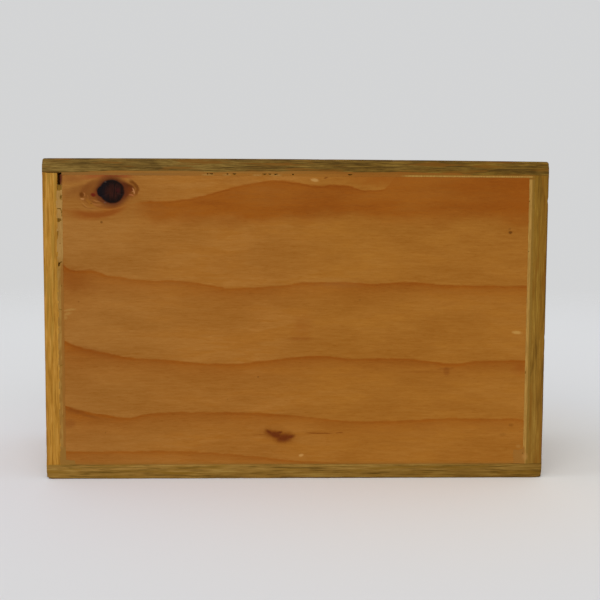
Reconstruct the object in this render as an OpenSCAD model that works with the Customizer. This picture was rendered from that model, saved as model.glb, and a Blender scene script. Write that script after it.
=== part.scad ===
// Pine shipping crate, in millimetres.
// A butt-jointed box of planed boards: two long walls lap the ends of two end walls, a plywood base is set
// flush between all four, and a plywood lid slides in grooves. The gaps round the base are closed with filler.
// The crate stands on its lower long wall. The base faces -Y, the lid faces +Y and slides out along +X, and
// +Z is up. The origin is the middle of the footprint, on the surface that the crate stands on.

/* [Crate] */
// Length along the two long walls
crate_length = 500; // [420:5:600]
// Height as the crate stands on its long wall
crate_height = 320; // [260:5:380]
// Depth from the outside of the base to the rim
crate_depth = 220; // [180:5:260]
// Thickness of the wall boards
board_thickness = 14.5; // [13:0.5:18]
// Radius of the worn outer corners
corner_radius = 3; // [1:0.5:5]

/* [Base] */
// Thickness of the plywood base
base_thickness = 12; // [11:0.5:15]
// Width of the filled gap at the base's left edge
left_gap = 4.5; // [2:0.5:8]
// Width of the filled gap at the base's right edge
right_gap = 4.5; // [2:0.5:8]
// Width of the filled gap at the base's upper edge
upper_gap = 2; // [0.5:0.1:3]
// Width of the gap at the base's lower edge
lower_gap = 0.3; // [0.1:0.1:1]
// Depth of the filler in the gaps
filler_depth = 4; // [2:0.5:4]
// Length at the upper end of the left gap that the filler leaves open
unfilled_length = 12; // [4:1:30]
// Length and height of the filled chip in the base's lower right corner
right_chip = [9, 13]; // [4:1:20]
// Length and height of the filled chip in the base's lower left corner
left_chip = [9, 3.5]; // [2:0.5:20]
// Depth of the filled chips
chip_depth = 2.5; // [1:0.5:3]

/* [Lid] */
// Thickness of the plywood lid
lid_thickness = 8; // [6:0.5:9]
// Depth of the grooves that hold the lid
groove_depth = 6; // [4:0.5:7]
// Thickness of the rim outside the grooves
rim_thickness = 8; // [6:0.5:10]
// Clearance between the lid and each side of a groove
lid_clearance = 0.3; // [0.2:0.05:0.6]
// Width of the batten across the lid's sliding end
batten_width = 15; // [10:0.5:24]

/* [Hand holes] */
// Length of the hand hole in each end wall
hand_hole_length = 100; // [80:5:120]
// Width of the hand hole
hand_hole_width = 30; // [25:1:40]
// Distance of the hand hole's middle from the rim
hand_hole_from_rim = 75; // [60:1:90]

/* [Nails] */
// Number of nails at each corner
corner_nail_count = 4; // [2:1:5]
// Diameter of a corner nail
corner_nail_d = 2.5; // [2:0.1:3]
// Length of a corner nail
corner_nail_length = 45; // [35:1:50]
// Diameter of a corner nail's head
corner_head_d = 5.5; // [4.5:0.1:6.5]
// Number of panel pins through each long wall into the base
long_pin_count = 5; // [3:1:7]
// Number of panel pins through each end wall into the base
end_pin_count = 3; // [2:1:4]
// Diameter of a panel pin
pin_d = 1.8; // [1.4:0.1:2]
// Length of a panel pin
pin_length = 35; // [30:1:40]
// Diameter of a panel pin's head
pin_head_d = 3.2; // [2.8:0.1:3.6]
// Number of pins that hold the batten on the lid
lid_pin_count = 4; // [2:1:6]
// Length of a lid pin
lid_pin_length = 14; // [12:0.5:14]

/* [Hidden] */
$fn = 48;

// How far a cutting shape reaches past the face that it opens
overcut = 1;
// Room between a nail and its hole, all round
nail_room = 0.03;
// How far nail heads are set below the wood
head_sink = 0.3;
head_height = 1.2;
tip_length = 3;

// Outer and inner faces of the crate
half_length = crate_length / 2;
half_depth = crate_depth / 2;
inner_half_length = half_length - board_thickness;
inner_low = board_thickness;
inner_high = crate_height - board_thickness;
inner_height = inner_high - inner_low;
mid_height = crate_height / 2;

// Edges of the base panel
base_left = -inner_half_length + left_gap;
base_right = inner_half_length - right_gap;
base_low = inner_low + lower_gap;
base_high = inner_high - upper_gap;
base_mid_y = -half_depth + base_thickness / 2;

// Faces of the grooves and of the lid in them
groove_outer_y = half_depth - rim_thickness;
groove_width = lid_thickness + 2 * lid_clearance;
groove_inner_y = groove_outer_y - groove_width;
groove_end_x = -inner_half_length - groove_depth;
lid_inner_y = groove_inner_y + lid_clearance;
lid_outer_y = lid_inner_y + lid_thickness;
lid_left_x = groove_end_x + 2 * lid_clearance;
lid_low = inner_low - groove_depth + lid_clearance;
lid_height = crate_height - 2 * lid_low;
batten_clearance = 0.5;
batten_low = inner_low + batten_clearance;
batten_length = inner_height - 2 * batten_clearance;

hand_hole_y = half_depth - hand_hole_from_rim;

// Places of the nails and pins along the edges that they hold
corner_nail_x = half_length - board_thickness / 2;
corner_nail_y = spread(-half_depth + 18, groove_inner_y - 13, corner_nail_count);
long_pin_x = spread(-half_length + 60, half_length - 60, long_pin_count);
end_pin_z = spread(60, crate_height - 60, end_pin_count);
lid_pin_z = spread(40, crate_height - 40, lid_pin_count);
lid_pin_x = half_length - batten_width / 2;

// Evenly spread values from first to last
function spread(first, last, count) = [for (i = [0 : count - 1]) first + i * (last - first) / (count - 1)];

// A box given by its lowest and highest corners
module block(low, high) {
    translate(low) cube(high - low);
}

// A wire nail driven down from the origin. With some room it is the hole for that nail.
module nail(shank_d, head_d, length, room = 0) {
    head_top = room > 0 ? overcut : -head_sink;
    head_bottom = -head_sink - head_height - room;
    translate([0, 0, head_bottom]) cylinder(h = head_top - head_bottom, d = head_d + 2 * room);
    translate([0, 0, tip_length - length]) cylinder(h = length - tip_length + head_bottom, d = shank_d + 2 * room);
    translate([0, 0, -length - room]) cylinder(h = tip_length + room, r1 = room, r2 = shank_d / 2 + room);
}

// Four nails through a long wall into the end of an end wall. End and wall are 1 or -1.
module corner_nails(end, wall, room = 0) {
    for (y = corner_nail_y) {
        translate([end * corner_nail_x, y, wall > 0 ? crate_height : 0])
            rotate([wall > 0 ? 0 : 180, 0, 0])
                nail(corner_nail_d, corner_head_d, corner_nail_length, room);
    }
}

// Pins through the upper (1) or lower (-1) long wall into the base's edge
module long_wall_pins(wall, room = 0) {
    for (x = long_pin_x) {
        translate([x, base_mid_y, wall > 0 ? crate_height : 0])
            rotate([wall > 0 ? 0 : 180, 0, 0])
                nail(pin_d, pin_head_d, pin_length, room);
    }
}

// Pins through the right (1) or left (-1) end wall into the base's edge
module end_wall_pins(end, room = 0) {
    for (z = end_pin_z) {
        translate([end * half_length, base_mid_y, z])
            rotate([0, end * 90, 0])
                nail(pin_d, pin_head_d, pin_length, room);
    }
}

// Pins through the batten into the lid
module batten_pins(room = 0) {
    for (z = lid_pin_z) {
        translate([lid_pin_x, lid_outer_y + rim_thickness, z])
            rotate([-90, 0, 0])
                nail(pin_d, pin_head_d, lid_pin_length, room);
    }
}

// Section of a long wall along its length, outer face down, with its two outer corners rounded
module long_wall_section() {
    translate([-half_length, corner_radius]) square([crate_length, board_thickness - corner_radius]);
    translate([corner_radius - half_length, 0]) square([crate_length - 2 * corner_radius, 2 * corner_radius]);
    for (end = [-1, 1]) {
        translate([end * (half_length - corner_radius), corner_radius]) circle(r = corner_radius);
    }
}

// A long wall as the lower one lies, with the lid groove open at the right end
module long_wall_board() {
    difference() {
        rotate([90, 0, 0]) linear_extrude(height = crate_depth, center = true) long_wall_section();
        block([groove_end_x, groove_inner_y, inner_low - groove_depth],
              [half_length + overcut, groove_outer_y, inner_low + overcut]);
    }
}

// A hand hole with round ends, cut through an end wall. End is 1 or -1.
module hand_hole(end) {
    round_end = hand_hole_length / 2 - hand_hole_width / 2;
    translate([end * (half_length - board_thickness / 2), hand_hole_y, mid_height]) {
        cube([board_thickness + 2 * overcut, hand_hole_width, 2 * round_end], center = true);
        for (side = [-1, 1]) {
            translate([0, 0, side * round_end])
                rotate([0, 90, 0])
                    cylinder(h = board_thickness + 2 * overcut, d = hand_hole_width, center = true);
        }
    }
}

// A chip in a lower corner of the base's outer face, from its side edge inwards (direction 1 or -1). The
// margin makes a cutting shape of it, which reaches past the base.
module chip(edge_x, size, direction, margin = 0) {
    outer_x = edge_x - direction * margin;
    inner_x = edge_x + direction * size[0];
    block([min(outer_x, inner_x), -half_depth - margin, base_low - margin],
          [max(outer_x, inner_x), -half_depth + chip_depth, base_low + size[1]]);
}

// A strip of filler in the gap beside the base
module filler_strip(low_x, high_x, low_z, high_z) {
    block([low_x, -half_depth, low_z], [high_x, -half_depth + filler_depth, high_z]);
}

module long_wall_lower() {
    color("#91692f") difference() {
        long_wall_board();
        for (end = [-1, 1]) corner_nails(end, -1, nail_room);
        long_wall_pins(-1, nail_room);
    }
}

module long_wall_upper() {
    color("#70582a") difference() {
        translate([0, 0, crate_height]) mirror([0, 0, 1]) long_wall_board();
        for (end = [-1, 1]) corner_nails(end, 1, nail_room);
        long_wall_pins(1, nail_room);
    }
}

module end_wall_left() {
    color("#af8237") difference() {
        block([-half_length, -half_depth, inner_low], [-inner_half_length, half_depth, inner_high]);
        block([groove_end_x, groove_inner_y, inner_low - overcut],
              [-inner_half_length + overcut, groove_outer_y, inner_high + overcut]);
        hand_hole(-1);
        for (wall = [-1, 1]) corner_nails(-1, wall, nail_room);
        end_wall_pins(-1, nail_room);
    }
}

// The right end wall stops below the grooves, so that the lid slides out over it
module end_wall_right() {
    color("#8c6e2d") difference() {
        block([inner_half_length, -half_depth, inner_low], [half_length, groove_inner_y, inner_high]);
        hand_hole(1);
        for (wall = [-1, 1]) corner_nails(1, wall, nail_room);
        end_wall_pins(1, nail_room);
    }
}

module base_panel() {
    color("#9b6428") difference() {
        block([base_left, -half_depth, base_low], [base_right, -half_depth + base_thickness, base_high]);
        chip(base_left, left_chip, 1, overcut);
        chip(base_right, right_chip, -1, overcut);
        for (wall = [-1, 1]) long_wall_pins(wall, nail_room);
        for (end = [-1, 1]) end_wall_pins(end, nail_room);
    }
}

module filler_left() {
    color("#a57d41") filler_strip(-inner_half_length, base_left, inner_low, inner_high - unfilled_length);
}

module filler_right() {
    color("#a57d41") filler_strip(base_right, inner_half_length, inner_low, inner_high);
}

module filler_upper() {
    color("#a57d41") filler_strip(base_left, base_right, base_high, inner_high);
}

module filler_chip_left() {
    color("#a57d41") chip(base_left, left_chip, 1);
}

module filler_chip_right() {
    color("#a57d41") chip(base_right, right_chip, -1);
}

module corner_nails_lower_left() {
    color("#8a8680") corner_nails(-1, -1);
}

module corner_nails_lower_right() {
    color("#8a8680") corner_nails(1, -1);
}

module corner_nails_upper_left() {
    color("#8a8680") corner_nails(-1, 1);
}

module corner_nails_upper_right() {
    color("#8a8680") corner_nails(1, 1);
}

module base_pins_lower() {
    color("#8a8680") long_wall_pins(-1);
}

module base_pins_upper() {
    color("#8a8680") long_wall_pins(1);
}

module base_pins_left() {
    color("#8a8680") end_wall_pins(-1);
}

module base_pins_right() {
    color("#8a8680") end_wall_pins(1);
}

module lid_panel() {
    color("#b08040") difference() {
        block([lid_left_x, lid_inner_y, lid_low], [half_length, lid_outer_y, lid_low + lid_height]);
        batten_pins(nail_room);
    }
}

module lid_batten() {
    color("#9a7434") difference() {
        block([half_length - batten_width, lid_outer_y, batten_low],
              [half_length, lid_outer_y + rim_thickness, batten_low + batten_length]);
        batten_pins(nail_room);
    }
}

module lid_pins() {
    color("#8a8680") batten_pins();
}

long_wall_lower();
long_wall_upper();
end_wall_left();
end_wall_right();
base_panel();
filler_left();
filler_right();
filler_upper();
filler_chip_left();
filler_chip_right();
corner_nails_lower_left();
corner_nails_lower_right();
corner_nails_upper_left();
corner_nails_upper_right();
base_pins_lower();
base_pins_upper();
base_pins_left();
base_pins_right();
lid_panel();
lid_batten();
lid_pins();
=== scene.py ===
"""The looks of a small pine shipping crate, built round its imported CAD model.

Metres, +Z up, in the CAD model's frame: the crate stands on its lower long wall, its base faces -Y and its
lid slides out along +X. Materials work in millimetres, from object coordinates times 1000.
"""
import math

import bpy
import numpy as np
from mathutils import Matrix, Vector


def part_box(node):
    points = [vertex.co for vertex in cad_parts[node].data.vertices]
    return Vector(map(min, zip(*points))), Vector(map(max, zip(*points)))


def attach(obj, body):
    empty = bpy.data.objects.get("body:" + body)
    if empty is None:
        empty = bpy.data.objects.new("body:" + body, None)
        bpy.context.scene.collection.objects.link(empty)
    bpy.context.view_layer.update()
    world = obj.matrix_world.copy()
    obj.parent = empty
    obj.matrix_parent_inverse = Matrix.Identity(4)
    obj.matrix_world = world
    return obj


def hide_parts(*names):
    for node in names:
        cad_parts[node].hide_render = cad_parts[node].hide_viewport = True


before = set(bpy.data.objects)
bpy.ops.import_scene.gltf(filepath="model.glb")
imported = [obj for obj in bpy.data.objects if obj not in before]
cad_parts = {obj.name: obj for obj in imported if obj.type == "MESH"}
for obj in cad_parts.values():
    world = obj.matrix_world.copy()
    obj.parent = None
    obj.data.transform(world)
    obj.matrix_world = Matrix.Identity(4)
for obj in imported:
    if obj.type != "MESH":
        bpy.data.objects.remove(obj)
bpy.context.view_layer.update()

MM = 0.001

# Lid grooves and hand holes, as the CAD model has them
LID_CLEARANCE = 0.3 * MM
HAND_HOLE_LENGTH = 100 * MM
HAND_HOLE_WIDTH = 30 * MM
HAND_HOLE_FROM_RIM = 75 * MM
HAND_HOLE_ROUNDING = 3.5 * MM

# Width of the open joint between the left end wall and the upper long wall
END_JOINT_GAP = 0.6 * MM

# How far the upper long wall's outer face droops at its ends
UPPER_DROOP = 0.8 * MM

# How far the base lies behind the board edges. The filler laps over it in a skin of this thickness.
FILLER_LAP = 0.15 * MM

# Nails: shank radius, head radius and length, and how far the head is set below the wood
HEAD_SINK = 0.3 * MM
HEAD_HEIGHT = 1.2 * MM
CORNER_NAIL = (1.25 * MM, 2.75 * MM, 45 * MM)
PANEL_PIN = (0.9 * MM, 1.6 * MM, 35 * MM)
LID_PIN = (0.9 * MM, 1.6 * MM, 14 * MM)

# Every nail group: its kind, the way its heads face, the axis its nails are spread along, and their number
DOWN, UP, LEFT, RIGHT, BACK = (0, 0, -1), (0, 0, 1), (-1, 0, 0), (1, 0, 0), (0, 1, 0)
NAILS = {}
for wall, way in (("lower", DOWN), ("upper", UP)):
    for end in ("left", "right"):
        NAILS[f"corner_nails_{wall}_{end}"] = (CORNER_NAIL, way, 1, 4)
for wall, way in (("lower", DOWN), ("upper", UP)):
    NAILS[f"base_pins_{wall}"] = (PANEL_PIN, way, 0, 5)
for end, way in (("left", LEFT), ("right", RIGHT)):
    NAILS[f"base_pins_{end}"] = (PANEL_PIN, way, 2, 3)
NAILS["lid_pins"] = (LID_PIN, BACK, 2, 4)

# The plywood. Places on it are x and height in millimetres, and a knot's size is its half width and height.
PLIES = 5
PANEL_LEFT = -231
KNOT = (-182.3, 287.3)
KNOT_SIZE = (12.6, 11.9)
KNOT_LOBE = 9.3
KNOT_LOBE_SIZE = (5.4, 5.6)
SMALL_KNOT = (-12.3, 41.6)
SMALL_KNOT_SIZE = (7.6, 4.3)

# Marks on the base are soft if they are longer than this, in millimetres
SOFT_MARK = 8

# Where the filler above the base stays light, as middle and half length along x in millimetres
UPPER_FILLER_LIGHT = [(-88, 4.5), (-69.5, 3.0), (-40, 3.0), (-21.5, 4.5)]

# How strongly every part of the crate reflects
GLOSS = 0.06

# The camera's place, and its yaw, pitch and roll in degrees
CAMERA_PLACE = (-0.0295, -1.1018, 0.264)
CAMERA_TURN = (1.88, -4.79, 0.31)

# Linear colours of the surroundings
SKY = (0.655, 0.660, 0.665, 1.0)
# Near the crate the floor is painted lighter than far away, as painted light, and warmer at the right, as a
# painted warm bounce from the wood
FLOOR_LEFT = (0.77, 0.765, 0.80, 1.0)
FLOOR_RIGHT = (0.80, 0.765, 0.71, 1.0)
FLOOR_FAR = (0.72, 0.725, 0.735, 1.0)
FLOOR_RADIUS = 3.2


def span(node):
    """Lowest and highest corners of a CAD node."""
    low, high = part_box(node)
    return np.array(low), np.array(high)


# ---------------------------------------------------------------- shapes

def ripple(place, seed, wavelength):
    """Smooth random values of about -1 to 1 at each place along a line."""
    draws = np.random.default_rng(seed)
    total = np.zeros_like(place)
    for octave in (1.0, 1.9, 3.7, 7.1):
        phase = draws.uniform(0, 2 * math.pi)
        total += np.sin(place * 2 * math.pi * octave / wavelength + phase) / octave ** 0.7
    return total / 1.6


def lump(points, seed, size):
    """Smooth random values of about -1 to 1 at each point in space, with features of about this size."""
    draws = np.random.default_rng(seed)
    total = np.zeros(len(points))
    for _ in range(7):
        way = draws.normal(size=3)
        way *= draws.uniform(0.6, 1.8) / np.linalg.norm(way)
        total += np.sin(points @ way * (2 * math.pi / size) + draws.uniform(0, 2 * math.pi))
    return total / 3.0


def smoothstep(low, high, value):
    """0 below low, 1 above high, and a smooth rise between them."""
    t = np.clip((value - low) / (high - low), 0, 1)
    return t * t * (3 - 2 * t)


def grid_lines(low, high, step, radii):
    """Grid lines from low to high, with closer ones at both ends that round edges of these radii."""
    ends = np.unique(np.outer(radii, 1 - np.tan(np.radians([45, 30, 15, 0]))).round(6))
    reach = max(radii)
    inside = np.linspace(low + reach, high - reach, max(2, round((high - low - 2 * reach) / step) + 1))
    return np.concatenate([low + ends[:-1], inside, high - ends[-2::-1]])


def with_fine_stretch(lines, low, high, step):
    """The same grid lines, with finer ones between low and high."""
    kept = lines[(lines < low) | (lines > high)]
    return np.sort(np.concatenate([kept, np.arange(low, high + step / 2, step)]))


def lattice_box(name, xs, ys, zs, shape):
    """A closed box surface with its vertices on the given grid lines, each then moved by shape(points)."""
    counts = (len(xs), len(ys), len(zs))
    patches = []
    for axis in range(3):
        u, v = (axis + 1) % 3, (axis + 2) % 3
        across, up = np.meshgrid(np.arange(counts[u] - 1), np.arange(counts[v] - 1), indexing="ij")
        for side in (0, 1):
            turn = ((0, 0), (1, 0), (1, 1), (0, 1)) if side else ((0, 0), (0, 1), (1, 1), (1, 0))
            patch = np.zeros((across.size, 4, 3), int)
            patch[:, :, axis] = side * (counts[axis] - 1)
            for corner, (du, dv) in enumerate(turn):
                patch[:, corner, u] = across.ravel() + du
                patch[:, corner, v] = up.ravel() + dv
            patches.append(patch)
    corners = np.concatenate(patches)
    keys = (corners[..., 0] * counts[1] + corners[..., 1]) * counts[2] + corners[..., 2]
    used, faces = np.unique(keys, return_inverse=True)
    points = np.stack([
        xs[used // (counts[1] * counts[2])],
        ys[used // counts[2] % counts[1]],
        zs[used % counts[2]],
    ], axis=1)
    return mesh_object(name, shape(points), faces.reshape(-1, 4))


def mesh_object(name, points, faces):
    """A new object from points and faces, shaded smooth except across sharp edges."""
    mesh = bpy.data.meshes.new(name)
    mesh.from_pydata([tuple(p) for p in points], [], [tuple(int(i) for i in f) for f in faces])
    mesh.validate()
    piece = bpy.data.objects.new(name, mesh)
    bpy.context.scene.collection.objects.link(piece)
    shade(piece)
    return piece


def shade(piece, sharp_angle=40):
    """Smooth shading, with edges sharper than the angle kept crisp."""
    piece.data.shade_smooth()
    piece.data.set_sharp_from_angle(angle=math.radians(sharp_angle))


def rounded(points, low, high, radius):
    """Points on a box, moved onto the same box with rounded edges. Each point may have its own radius."""
    inner = np.clip(points, low + radius, high - radius)
    outward = points - inner
    length = np.linalg.norm(outward, axis=1, keepdims=True)
    return inner + outward / np.maximum(length, 1e-9) * radius


def edge_closeness(points, low, high, reach):
    """1 on the edges of a box, falling to 0 at the given reach from them."""
    gaps = np.sort(np.minimum(points - low, high - points), axis=1)
    return 1 - smoothstep(0, reach, gaps[:, 1])


def worn_board(name, low, high, step, seed, wear, radii, bow=None):
    """A board with rubbed-down arrises and small dents along them, on grid lines about step apart. wear gives
    each point's edge radius, no more than the largest of radii, and bow moves the worn points."""

    def shape(points):
        radius = wear(points) * (1 + 0.3 * lump(points, seed, 60 * MM))
        worn = rounded(points, low, high, np.minimum(radius, max(radii))[:, None])
        close = edge_closeness(points, low, high, 3 * MM)
        dent = np.clip(lump(points, seed + 1, 14 * MM) - 0.75, 0, 1) * close * 0.5 * wear(points)
        inward = np.sign((low + high) / 2 - worn) * (np.minimum(points - low, high - points) < 3 * MM)
        worn = worn + inward * dent[:, None]
        return worn if bow is None else bow(worn)

    lines = [grid_lines(low[i], high[i], step[i], radii) for i in range(3)]
    return lattice_box(name, *lines, shape)


def box_cutter(low, high):
    """Points and faces of a plain box that cuts a groove."""
    points = [(x, y, z) for x in (low[0], high[0]) for y in (low[1], high[1]) for z in (low[2], high[2])]
    faces = [(0, 1, 3, 2), (4, 6, 7, 5), (0, 4, 5, 1), (2, 3, 7, 6), (0, 2, 6, 4), (1, 5, 7, 3)]
    return np.array(points), faces


def ring_stack(rings):
    """Points and faces of a closed form from rings of equal length, capped at both ends."""
    count = len(rings[0])
    faces = [tuple(range(count))[::-1]]
    for level in range(len(rings) - 1):
        start = level * count
        for i in range(count):
            after = (i + 1) % count
            faces.append((start + i, start + after, start + count + after, start + count + i))
    faces.append(tuple(range((len(rings) - 1) * count, len(rings) * count)))
    return np.concatenate(rings), faces


def turned(profile, place, axis, sides=28):
    """A form turned from (radius, height) steps about an axis through place."""
    axis = Vector(axis).normalized()
    frame_of_axis = axis.to_track_quat("Z", "Y").to_matrix()
    angles = np.linspace(0, 2 * math.pi, sides, endpoint=False)
    rings = []
    for radius, height in profile:
        flat = np.stack([np.cos(angles) * radius, np.sin(angles) * radius, np.full(sides, height)], axis=1)
        rings.append(flat @ np.array(frame_of_axis).T + np.array(place))
    return ring_stack(rings)


def joined(forms):
    """Points and faces of several forms together."""
    points, faces, count = [], [], 0
    for form_points, form_faces in forms:
        points.append(form_points)
        faces += [tuple(i + count for i in face) for face in form_faces]
        count += len(form_points)
    return np.concatenate(points), faces


def cut(piece, forms):
    """Cuts the forms out of the piece."""
    cutter = mesh_object(piece.name + "_cutter", *joined(forms))
    carve = piece.modifiers.new("cut", "BOOLEAN")
    carve.operation = "DIFFERENCE"
    carve.solver = "EXACT"
    carve.object = cutter
    carved = bpy.data.meshes.new_from_object(piece.evaluated_get(bpy.context.evaluated_depsgraph_get()))
    piece.modifiers.clear()
    piece.data = carved
    bpy.data.objects.remove(cutter)
    shade(piece)


# ---------------------------------------------------------------- material building

def tone(red, green, blue):
    """A colour given in 0 to 255 steps, as linear RGBA."""
    steps = [c / 255 for c in (red, green, blue)]
    return tuple(c / 12.92 if c <= 0.04045 else ((c + 0.055) / 1.055) ** 2.4 for c in steps) + (1.0,)


class Value:
    """A number that a material's nodes work out. Arithmetic on it adds further nodes."""

    # Lets a numpy number leave arithmetic with a Value to the Value
    __array_ufunc__ = None

    def __init__(self, surface, socket):
        self.surface = surface
        self.socket = socket

    def __add__(self, other):
        return self.surface.math("ADD", self, other)

    def __sub__(self, other):
        return self.surface.math("SUBTRACT", self, other)

    def __rsub__(self, other):
        return self.surface.math("SUBTRACT", other, self)

    def __mul__(self, other):
        return self.surface.math("MULTIPLY", self, other)

    def __truediv__(self, number):
        return self * (1 / number)

    def __abs__(self):
        return self.surface.math("ABSOLUTE", self)

    __radd__ = __add__
    __rmul__ = __mul__


class Surface:
    """A procedural material, built node by node.

    x, y and z are millimetres in the object's own frame. grain holds the coordinate along the wood's grain
    and the two across it, and color is what has been painted so far. Any colour is an (r, g, b) of 0 to 255
    steps, a linear RGBA or a node's output.
    """

    def __init__(self, name):
        self.material = bpy.data.materials.new(name)
        self.material.use_nodes = True
        self.tree = self.material.node_tree
        self.tree.nodes.clear()
        where = self.add("TexCoord", {})
        self.normal = where.outputs["Normal"]
        scaled = self.add("VectorMath", {0: where.outputs["Object"], "Scale": 1 / MM}, operation="SCALE")
        apart = self.add("SeparateXYZ", {0: scaled.outputs[0]})
        self.x, self.y, self.z = (Value(self, socket) for socket in apart.outputs)
        self.grain = None
        self.color = None
        self.rough_edges = {}

    def add(self, kind, inputs, **settings):
        """A new node with these inputs, each a constant, a Value or another node's output."""
        node = self.tree.nodes.new("ShaderNode" + kind)
        for key, value in settings.items():
            setattr(node, key, value)
        for key, value in inputs.items():
            if isinstance(value, Value):
                value = value.socket
            if isinstance(value, bpy.types.NodeSocket):
                self.tree.links.new(value, node.inputs[key])
            else:
                node.inputs[key].default_value = value
        return node

    def value(self, kind, inputs, **settings):
        """The first output of a new node, as a Value."""
        return Value(self, self.add(kind, inputs, **settings).outputs[0])

    def math(self, operation, *values):
        return self.value("Math", dict(enumerate(values)), operation=operation)

    def max(self, a, b):
        return self.math("MAXIMUM", a, b)

    def min(self, a, b):
        return self.math("MINIMUM", a, b)

    def fade(self, value, low, high, start=0.0, end=1.0):
        """start below low, end above high, and smooth between them."""
        names = {"Value": value, "From Min": low, "From Max": high, "To Min": start, "To Max": end}
        return self.value("MapRange", names, interpolation_type="SMOOTHSTEP")

    def fall(self, value, low, high, start=1.0):
        """start below low, 0 above high, and smooth between them."""
        return self.fade(value, low, high, start, 0.0)

    def mix(self, share, a, b, blend="MIX"):
        """The colour between a and b at this share of b."""
        a, b = (tone(*color) if isinstance(color, tuple) and len(color) == 3 else color for color in (a, b))
        return self.add("Mix", {0: share, 6: a, 7: b}, data_type="RGBA", blend_type=blend).outputs[2]

    def paint(self, share, color):
        """Lays this share of a colour over what has been painted so far."""
        self.color = self.mix(share, self.color, color)

    def retone(self, share, old, new):
        """Turns this share of the old tone, and of all others in proportion, into the new one."""
        ratio = tuple(n / o for n, o in zip(tone(*new), tone(*old)))
        self.paint(share, self.mix(1.0, self.color, ratio, "MULTIPLY"))

    def noise(self, x, y, z, detail, seed=0.0):
        """Noise of about 0 to 1 at a place given in units of the noise's own size."""
        place = self.add("CombineXYZ", {0: x, 1: y, 2: z + seed}).outputs[0]
        inputs = {"Vector": place, "Scale": 1.0, "Detail": detail, "Roughness": 0.55}
        return self.value("TexNoise", inputs)

    def streaks(self, length, width, detail, seed):
        """Noise drawn out along the grain: length and width are its size in millimetres."""
        along, across, other = self.grain
        return self.noise(along / length, across / width, other / width, detail, seed=seed)

    def rough_edge(self, size):
        """Noise of about -0.5 to 0.5 that makes a spot of this size ragged. Spots share two noises, for
        Cycles has no room for one each."""
        grit = 2.2 if size < 6 else 7.0
        if grit not in self.rough_edges:
            self.rough_edges[grit] = self.noise(self.x / grit, 0.0, self.z / grit, 3) - 0.5
        return self.rough_edges[grit]

    def curve(self, value, points, low, high):
        """A smooth curve through (x, result) points, whose results lie between low and high."""
        first, last = points[0][0], points[-1][0]
        share = self.value("MapRange", {"Value": value, "From Min": first, "From Max": last})
        node = self.add("FloatCurve", {"Value": share})
        line = node.mapping.curves[0]
        for x, result in points[1:-1]:
            line.points.new((x - first) / (last - first), (result - low) / (high - low))
        line.points[0].location = (0, (points[0][1] - low) / (high - low))
        line.points[-1].location = (1, (points[-1][1] - low) / (high - low))
        node.mapping.update()
        return Value(self, node.outputs[0]) * (high - low) + low

    def distance(self, a, b):
        """Length of the vector (a, b)."""
        return self.math("SQRT", a * a + b * b)

    def outer_arris_gap(self, low, high, outer, ends):
        """Distance from the edges of a board's outer face. outer is that face's (axis, place), and ends are
        the other axes along which the face ends in the open."""
        places = (self.x, self.y, self.z)
        from_face = abs(places[outer[0]] - outer[1] / MM)
        gap = 1000.0
        for axis in ends:
            to_low = places[axis] - low[axis] / MM
            to_high = high[axis] / MM - places[axis]
            gap = self.min(gap, self.min(to_low, to_high))
        return self.max(from_face, gap)

    def finish(self, roughness, height, depth, metallic=0.0):
        """The shader itself. depth is how deep the bump of height goes, in millimetres."""
        bump = self.add("Bump", {"Height": height, "Distance": depth * MM, "Strength": 1.0})
        shader = self.add("BsdfPrincipled", {
            "Base Color": self.color, "Roughness": roughness, "Metallic": metallic,
            "Specular IOR Level": GLOSS, "Normal": bump.outputs[0],
        })
        self.add("OutputMaterial", {0: shader.outputs[0]})
        return self.material


# ---------------------------------------------------------------- wood and the other materials

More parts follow.
